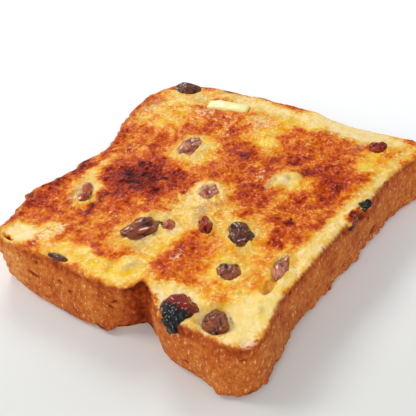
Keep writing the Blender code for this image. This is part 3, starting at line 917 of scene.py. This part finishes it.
    def crack(self, place: Vector, inset: float) -> float:
        """How far a point of the left or the base wall lies in a crack or pit.

        Args:
            place: The point, in millimetres.
            inset: Its distance from the crust's line, seen from above.

        Returns:
            The depth, from 0 to 1.
        """
        if inset > self.wall_reach:
            return 0.0
        if place.x < self.left_wall:
            return max(patch.height(place.y, place.z) for patch in SIDE_CRACKS)
        if place.y < self.base_wall:
            return max(patch.height(place.x, place.z) for patch in BASE_CRACKS)
        return 0.0

    def lift(
        self, place: Vector, normal: Vector, inset: float, grain: float, marks: dict[str, float],
    ) -> float:
        """How far one point stands out of the smooth skin.

        Args:
            place: The point, in millimetres.
            normal: The surface's direction there.
            inset: Its distance from the crust's line, seen from above.
            grain: The crumb's own grain there, about -1 to 1.
            marks: The point's fields.

        Returns:
            The distance, in millimetres.
        """
        upward = smooth_step(0.35, 0.75, normal.z)
        if place.z < 1.2 and normal.z < -0.4:
            return -0.3 * max(0.0, wobble(place, 1.1, 51.0) - 0.25)
        height = 0.0
        if upward > 0:
            height += self.face_relief(place, inset, grain, marks) * upward
        if upward < 1 and inset < self.wall_reach:
            height += self.wall_relief(place, inset) * (1 - upward)
        return height

    def face_relief(self, place: Vector, inset: float, grain: float, marks: dict[str, float]) -> float:
        """Height of the toasted face's grain, pores, mounds and lips round the raisins.

        Args:
            place: The point, in millimetres.
            inset: Its distance from the crust's line, seen from above.
            grain: The crumb's own grain there, about -1 to 1.
            marks: The point's fields.

        Returns:
            The height, in millimetres.
        """
        toast = smooth_step(0.25, 0.6, marks["browning"])
        pits = -1.0 * max(0.0, wobble(place, 1.7, 67.0) - 0.2)
        pores = 0.24 * wobble(place, 2.4, 69.0) - 0.8 * max(0.0, wobble(place, 1.4, 65.0) - 0.25)
        pores = (pores + 0.2 * grain) * (1 - 0.6 * marks["butter"])
        height = ((0.7 * grain + pits) * toast + pores * (1 - toast)) * smooth_step(0.2, 1.2, inset)
        height += 0.55 * wobble(place, 6.5, 87.0)
        for mound in MOUNDS:
            height += mound.height(place.x, place.y)
        for bed in BEDS:
            near = bed.falloff(place.x, place.y)
            if near > 0:
                under = smooth_step(0.8, 0.98, near)
                crumbs = 0.9 + 2.2 * wobble(place, 1.7, 81.0)
                height += bed.level * near * (1 - under) * crumbs - 0.4 * under
        return height

    def wall_relief(self, place: Vector, inset: float) -> float:
        """Height of a wall's crags and cracks, of its foot and of the risen top's ragged edge.

        Args:
            place: The point, in millimetres.
            inset: Its distance from the crust's line, seen from above.

        Returns:
            The height, in millimetres.
        """
        side = 0.2 * wobble(place, 2.8, 71.0) + 0.14 * wobble(place, 1.3, 73.0)
        side -= 0.5 * max(0.0, wobble(place, 1.7, 79.0) - 0.3)
        side -= 0.5 * self.crack(place, inset)
        skirt = (1 - smooth_step(1.5, 5.5, place.z)) * (1 - smooth_step(-44.0, -38.0, place.y))
        side += skirt * (1.9 * abs(wobble(place, 3.2, 83.0)) - 0.7 * abs(wobble(place, 1.5, 85.0)))
        ragged = smooth_step(35.0, 40.0, place.y) * (1 - smooth_step(14.0, 30.0, place.x))
        side += ragged * (1.3 * abs(wobble(place, 3.4, 75.0)) + 0.7 * wobble(place, 1.7, 77.0))
        return side


class Ripeness(Enum):
    """What has become of a raisin in the toaster."""

    PALE = "pale"
    BROWN = "brown"
    DARK = "dark"
    RED = "red"
    CHARRED = "charred"
    BURIED = "buried"
    CUT = "cut"


SKINS = {
    Ripeness.PALE: RaisinSkin("pale_raisin", linear(130, 58, 38), linear(224, 146, 112)),
    Ripeness.BROWN: RaisinSkin("brown_raisin", linear(70, 22, 9), linear(172, 86, 46)),
    Ripeness.DARK: RaisinSkin("dark_raisin", linear(42, 13, 6), linear(118, 54, 26), gloss=0.8),
    Ripeness.RED: RaisinSkin("red_raisin", linear(90, 10, 4), linear(176, 52, 20), gloss=0.6),
    Ripeness.CHARRED: RaisinSkin("charred_raisin", linear(56, 7, 2), linear(154, 32, 9), 0.22, 0.7),
    Ripeness.BURIED: RaisinSkin("crumb_coated_raisin", linear(136, 38, 18), linear(212, 110, 66), 0.36),
    Ripeness.CUT: RaisinSkin("cut_raisin", linear(74, 24, 10), linear(150, 74, 40), 0.45, 0.1),
}

# Where the noise that pulls a raisin's wrinkles about is read along X, Y and Z. noise_vector isn't used,
# because it takes such places from the clock, and every run has to give the same raisins.
PULL_SHIFTS = ((3.1, 9.4, 5.7), (8.3, 2.6, 11.9), (13.5, 6.2, 1.8))

# Where a raisin's burnt end ends if none of it is burnt, and if all of it is
UNBURNT = -99.0
BURNT_THROUGH = 99.0

# A raisin whose solid reaches above this height lies in the toasted face
FACE_RAISIN_TOP = 15.5


@dataclass(frozen=True)
class Raisin:
    """One raisin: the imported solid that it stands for, its shape and its ripeness.

    Attributes:
        node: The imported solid's name.
        size: Length, width and height, in millimetres.
        yaw: Its turn about the upright, in degrees.
        ripeness: What the toaster made of it.
        shift: How far its middle is moved, in millimetres.
        burnt_left_of: Where the burnt end ends, in millimetres along X.
        bedded: Whether the crumb of the face lies close against it.
        detail: How often the sphere is subdivided.
        lumps: How uneven its outline is.
        waist: How far it is pinched in its middle.
        lip: How high the crumb swells round it, in millimetres.
        halo: How much paler than the toast the crumb is round it, from 0 to 1.
        top_height: How high its upper half is, as a share of its lower half.
    """

    node: str
    size: tuple[float, float, float]
    yaw: float
    ripeness: Ripeness = Ripeness.BROWN
    shift: tuple[float, float, float] = (0.0, 0.0, 0.0)
    burnt_left_of: float = UNBURNT
    bedded: bool = False
    detail: int = 5
    lumps: float = 0.4
    waist: float = 0.0
    lip: float = 0.7
    halo: float = 0.7
    top_height: float = 0.85

    def build(self, finish: bpy.types.Material) -> bpy.types.Object:
        """Models the raisin from a sphere: wrinkled from end to end, then laid in its socket.

        Args:
            finish: The skin's material.

        Returns:
            The finished piece.
        """
        low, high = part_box(self.node)
        middle = [(a + b) / 2 + s * MM for a, b, s in zip(low, high, self.shift)]
        deselect_all()
        bpy.ops.mesh.primitive_ico_sphere_add(subdivisions=self.detail, radius=1.0)
        piece = bpy.context.object
        piece.name = piece.data.name = self.node + "_skin"
        seed = sum(ord(letter) for letter in self.node) * 0.37
        # How deep each point lies in a wrinkle, which the skin's material paints as shade
        crease_shades = []
        for vertex in piece.data.vertices:
            vertex.co, crease_shade = self.wrinkled(vertex.co.copy(), seed)
            if vertex.co.z > 0:
                vertex.co.z *= self.top_height
            crease_shades.append(crease_shade)
        length, width, height = (s / 2 * MM for s in self.size)
        turn = Matrix.Translation(middle) @ Matrix.Rotation(math.radians(self.yaw), 4, "Z")
        piece.data.transform(turn @ Matrix.Diagonal((length, width, height, 1.0)))
        places = [v.co / MM for v in piece.data.vertices]
        burnt = [
            smooth_step(1.0, -1.0, place.x + 1.1 * wobble(place, 2.2, 5.0) - self.burnt_left_of)
            for place in places
        ]
        write_field(piece.data, "crease_shade", crease_shades)
        write_field(piece.data, "burnt", burnt)
        piece.data.materials.append(finish)
        bpy.ops.object.shade_smooth()
        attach(piece, "root")
        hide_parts(self.node)
        return piece

    def wrinkled(self, point: Vector, seed: float) -> tuple[Vector, float]:
        """Wrinkles one point of a round raisin.

        Args:
            point: The point, on a ball of radius 1.
            seed: Picks the raisin's own wrinkles.

        Returns:
            Where the wrinkled skin has the point, and how deep it lies in a wrinkle, from 0 to 1, for painted
            shade.
        """
        start = Vector((seed, seed * 0.7, -seed * 0.4))
        pull = Vector([noise.noise(point * 0.9 + start + Vector(shift)) for shift in PULL_SHIFTS])
        pulled = point + 0.35 * pull
        lump = self.lumps * (noise.noise(pulled * 1.3 - start) + 0.5 * noise.noise(pulled * 2.4 + start))
        wide = abs(noise.noise(pulled * 1.25 + start))
        narrow = abs(noise.noise(pulled * 3.0 - start))
        fold = math.exp(-(wide / 0.12) ** 2)
        furrow = math.exp(-(narrow / 0.11) ** 2)
        grain = noise.noise(point * 5.0 + start)
        girth = 1.02 + lump - 0.11 * fold - 0.05 * furrow + 0.04 * grain
        girth -= self.waist * math.exp(-(point.x / 0.28) ** 2)
        return point * min(girth, 1.2), min(1.0, 0.6 * fold + 0.35 * furrow)


RAISINS = (
    Raisin("raisin_dome_rim", (10.8, 8.2, 6.6), -58, Ripeness.DARK, (0.0, 0.0, 0.3)),
    Raisin("raisin_far", (11.2, 6.8, 6.6), 3, Ripeness.PALE, (0.0, 0.0, 0.5), bedded=True, lumps=0.3),
    Raisin("raisin_mid", (8.2, 6.4, 6.0), 20, Ripeness.PALE, (-0.6, 0.0, 0.6), bedded=True, lumps=0.5),
    Raisin(
        "raisin_torn", (9.8, 4.6, 5.6), 24, Ripeness.BURIED, (0.0, 0.0, 0.5), bedded=True,
        lumps=0.65, waist=0.55,
    ),
    Raisin("raisin_long", (13.6, 8.2, 7.0), -22, shift=(0.0, -0.3, 0.4), bedded=True, lumps=0.35),
    Raisin("raisin_chip", (4.8, 4.4, 4.6), 0, Ripeness.BURIED, (0.0, 0.0, 0.4), bedded=True, lumps=0.6),
    Raisin(
        "raisin_red", (8.8, 4.2, 6.0), 42, Ripeness.RED, (0.0, 0.0, 0.5), bedded=True, lumps=0.55, halo=0.4,
    ),
    Raisin(
        "raisin_dark", (10.2, 7.6, 6.8), 42, Ripeness.DARK, (-0.3, 0.4, 0.1), bedded=True, lumps=0.35, halo=0.5,
    ),
    Raisin(
        "raisin_broad", (7.2, 7.6, 6.2), -58, shift=(0.3, -0.4, 0.3), bedded=True, lumps=0.35, waist=0.12,
    ),
    Raisin("raisin_slim", (11.8, 4.6, 5.4), 16, Ripeness.PALE, (0.0, 0.0, 0.5), bedded=True, halo=0.5),
    Raisin(
        "raisin_corner", (7.8, 7.2, 7.0), 38, shift=(-0.8, 0.6, -0.1), bedded=True,
        lumps=0.2, waist=0.06, lip=0.0, halo=1.0,
    ),
    Raisin(
        "raisin_scorched", (10.4, 11.6, 10.0), -56, Ripeness.CHARRED, (-0.7, 0.7, 0.7), -52.4, bedded=True,
        lumps=0.2, lip=0.2, halo=0.8,
    ),
    Raisin(
        "raisin_base_far", (6.4, 6.0, 6.0), -70, Ripeness.RED, (0.0, 0.0, 0.4), bedded=True,
        lumps=0.5, halo=0.0,
    ),
    Raisin(
        "raisin_charred", (4.8, 4.0, 4.6), 20, Ripeness.CHARRED, (0.0, -0.3, 0.9), BURNT_THROUGH,
        bedded=True, lumps=0.7, lip=0.0, halo=0.0,
    ),
    Raisin(
        "raisin_rim_sliver", (7.0, 2.6, 3.6), 12, Ripeness.CHARRED, (0.0, -0.2, 0.2), 4.6, bedded=True,
        lumps=0.7, lip=0.0, halo=0.0,
    ),
    Raisin(
        "raisin_lobe_rim", (9.4, 2.8, 4.6), -86, Ripeness.DARK, (-0.7, -0.2, 0.4), bedded=True,
        lumps=0.06, lip=0.0, halo=0.4,
    ),
    Raisin(
        "raisin_lobe_foot", (5.0, 3.2, 2.6), 80, Ripeness.CHARRED, (-0.8, 0.0, -0.2), BURNT_THROUGH,
        bedded=True, detail=4, lumps=0.15,
    ),
    Raisin("raisin_wall_side", (8.0, 3.8, 5.6), 88, Ripeness.DARK, (0.8, 0.0, 0.0), bedded=True, detail=4),
    Raisin("raisin_wall_dome", (7.6, 4.0, 5.2), -8, Ripeness.DARK, (0.0, 0.8, 0.0), bedded=True, detail=4),
)


def round_raisins(reach: float, lifted: bool) -> tuple[Patch, ...]:
    """The crumb round each raisin that is bedded in the face.

    Args:
        reach: How far out it lies, as a share of the raisin's own length and width.
        lifted: Whether the patches hold the height of the crumb's lips, and not how pale the crumb is.

    Returns:
        One patch for each raisin.
    """
    patches = []
    for raisin in RAISINS:
        low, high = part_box(raisin.node)
        if raisin.bedded and high[2] > FACE_RAISIN_TOP * MM:
            x, y = ((a + b) / 2 / MM + s for a, b, s in zip(low[:2], high[:2], raisin.shift))
            across, along = (s * reach for s in raisin.size[:2])
            patches.append(Patch(x, y, across, along, raisin.yaw, raisin.lip if lifted else raisin.halo))
    return tuple(patches)


BEDS = round_raisins(0.74, True)
HALOS = round_raisins(0.86, False)

# How many raisins the knife cut at the underside
CUT_RAISINS = 6


@dataclass(frozen=True)
class CutRaisin:
    """A raisin that the knife cut flat at the underside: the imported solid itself, refined and wrinkled.

    Attributes:
        node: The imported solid's name.
        seed: Picks its own wrinkles.
        flat_up_to: Height up to which its cut face stays flat, in millimetres.
        wrinkle: How high its wrinkles are, in millimetres.
    """

    node: str
    seed: float
    flat_up_to: float = 0.45
    wrinkle: float = 0.35

    def build(self, finish: bpy.types.Material) -> bpy.types.Object:
        """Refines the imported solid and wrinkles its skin, but leaves the cut face flat.

        Args:
            finish: The skin's material.

        Returns:
            The finished piece.
        """
        piece = merged_copy(self.node, self.node + "_skin")
        refine = piece.modifiers.new("refine", "SUBSURF")
        refine.levels = refine.render_levels = 2
        refine.subdivision_type = "SIMPLE"
        soften = piece.modifiers.new("soften", "SMOOTH")
        soften.iterations = 3
        apply_all(piece)
        for vertex in piece.data.vertices:
            place = vertex.co / MM
            if place.z > self.flat_up_to:
                vertex.co += vertex.normal * self.wrinkle * MM * abs(wobble(place, 1.2, self.seed))
        piece.data.materials.append(finish)
        bpy.ops.object.shade_smooth()
        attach(piece, "root")
        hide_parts(self.node)
        return piece


@dataclass
class ButterStick:
    """A stick of cold butter that has begun to melt into the face.

    Attributes:
        length: Its length, in millimetres.
        width: Its width.
        height: Its height.
        edge: How wide its edges are worn.
        yaw: Its turn about the upright, in degrees.
    """

    length: float = 15.0
    width: float = 5.0
    height: float = 2.3
    edge: float = 0.8
    yaw: float = -74.0

    def build(self, finish: bpy.types.Material) -> bpy.types.Object:
        """Models the stick: a bar with worn edges, sagging at its ends.

        Args:
            finish: The butter's material.

        Returns:
            The finished piece.
        """
        low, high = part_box("butter")
        middle = Vector([(a + b) / 2 for a, b in zip(low, high)])
        deselect_all()
        bpy.ops.mesh.primitive_cube_add(size=1.0)
        piece = bpy.context.object
        piece.name = piece.data.name = "butter_stick"
        bpy.ops.object.mode_set(mode="EDIT")
        bpy.ops.transform.resize(value=(self.length * MM, self.width * MM, self.height * MM))
        bpy.ops.mesh.bevel(offset=self.edge * MM, segments=3, affect="EDGES")
        bpy.ops.mesh.subdivide(number_cuts=5)
        bpy.ops.object.mode_set(mode="OBJECT")
        soften = piece.modifiers.new("soften", "SMOOTH")
        soften.iterations = 6
        refine = piece.modifiers.new("refine", "SUBSURF")
        refine.levels = refine.render_levels = 1
        apply_all(piece)
        melt = []
        for vertex in piece.data.vertices:
            place = vertex.co / MM
            end = abs(place.x) / (self.length / 2)
            lower = smooth_step(0.6, -1.0, place.z) if place.z < 0.6 else 0.0
            soft = 0.9 * lower + 0.5 * smooth_step(0.75, 1.0, end) + 0.2 * smooth_step(0.5, 2.5, -place.y)
            melt.append(min(1.0, soft))
            place.z -= 0.5 * end ** 2 + 0.25 * wobble(place, 2.5, 3.0)
            place.y += 0.6 * end ** 2 + 0.45 * wobble(place, 3.0, 5.0)
            vertex.co = place * MM
        write_field(piece.data, "melt", melt)
        piece.data.transform(Matrix.Translation(middle) @ Matrix.Rotation(math.radians(self.yaw), 4, "Z"))
        piece.data.materials.append(finish)
        bpy.ops.object.shade_smooth()
        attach(piece, "root")
        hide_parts("butter")
        return piece


@dataclass
class Studio:
    """The pale floor, the soft lights and the camera.

    Attributes:
        floor_reach: How far the floor goes each way, in metres.
        floor_drop: How far it lies below the slice, in metres.
        room_tint: The colour of the light all round.
        room_strength: Its strength.
        lens_length: The camera's focal length, in millimetres.
        camera_place: Where the camera is, in metres.
        camera_turn: Its turn about X, Y and Z, in degrees.
    """

    floor_reach: float = 1.2
    floor_drop: float = 0.0002
    room_tint: Colour = (0.935, 0.985, 1.02)
    room_strength: float = 0.425
    lens_length: float = 82.23
    camera_place: tuple[float, float, float] = (-0.19344, -0.14878, 0.18766)
    camera_turn: tuple[float, float, float] = (53.52, 3.36, -54.68)

    def build(self) -> None:
        """Puts everything in place."""
        self.lay_floor()
        self.hang_light("key", (-0.22, 0.5, 0.5), 0.24, 1.65, (1.0, 0.985, 0.96))
        self.hang_light("fill", (-0.62, -0.25, 0.42), 0.4, 2.15, (0.96, 0.985, 1.0))
        self.hang_light("side", (0.35, -0.62, 0.4), 0.6, 1.05, (0.96, 0.985, 1.0))
        self.hang_light("glint", (0.34, 0.4, 0.46), 0.24, 1.55, (1.0, 1.0, 1.0))
        self.light_world()
        self.set_camera()

    def lay_floor(self) -> None:
        """A flat floor that ends far behind the slice."""
        deselect_all()
        bpy.ops.mesh.primitive_plane_add(size=2 * self.floor_reach)
        floor = bpy.context.object
        floor.name = floor.data.name = "studio_floor"
        floor.data.transform(Matrix.Translation((0, 0, -self.floor_drop)))
        floor.data.materials.append(PaleFloor().material())

    def hang_light(
        self, name: str, place: tuple[float, float, float], size: float, power: float, tint: Colour,
    ) -> None:
        """Hangs a square soft light that faces the slice.

        Args:
            name: The light's name.
            place: Where it hangs, in metres.
            size: Its side, in metres.
            power: Its power, in watts.
            tint: Its colour.
        """
        lamp = bpy.data.lights.new(name, "AREA")
        lamp.size = size
        lamp.energy = power
        lamp.color = tint
        light = bpy.data.objects.new(name, lamp)
        light.location = place
        light.rotation_euler = (-Vector(place)).to_track_quat("-Z", "Y").to_euler()
        bpy.context.scene.collection.objects.link(light)

    def light_world(self) -> None:
        """Even white light all round."""
        world = bpy.data.worlds.new("white_room")
        world.use_nodes = True
        background = world.node_tree.nodes["Background"]
        background.inputs["Color"].default_value = (*self.room_tint, 1.0)
        background.inputs["Strength"].default_value = self.room_strength
        bpy.context.scene.world = world

    def set_camera(self) -> None:
        """The camera above the front left corner, at the photo's angle."""
        lens = bpy.data.cameras.new("camera")
        lens.lens = self.lens_length
        lens.sensor_width = 36.0
        lens.clip_start = 0.01
        camera = bpy.data.objects.new("camera", lens)
        camera.location = self.camera_place
        camera.rotation_euler = Euler([math.radians(angle) for angle in self.camera_turn])
        bpy.context.scene.collection.objects.link(camera)
        bpy.context.scene.camera = camera
        bpy.context.scene.view_settings.view_transform = "Standard"


def report(piece: bpy.types.Object) -> None:
    """Reports a finished piece."""
    LOG.info("%s: %d faces", piece.name, len(piece.data.polygons))


def main() -> None:
    """Dresses the slice, its raisins and its butter, and sets the studio."""
    logging.basicConfig(level=logging.INFO, format="%(message)s")
    report(BreadSlice().build(ToastedBread().material()))
    skins = {ripeness: skin.material() for ripeness, skin in SKINS.items()}
    for raisin in RAISINS:
        report(raisin.build(skins[raisin.ripeness]))
    for number in range(1, CUT_RAISINS + 1):
        report(CutRaisin(f"raisin_under_{number}", number * 1.7).build(skins[Ripeness.CUT]))
    report(ButterStick().build(SoftButter().material()))
    Studio().build()


if __name__ == "__main__":
    main()
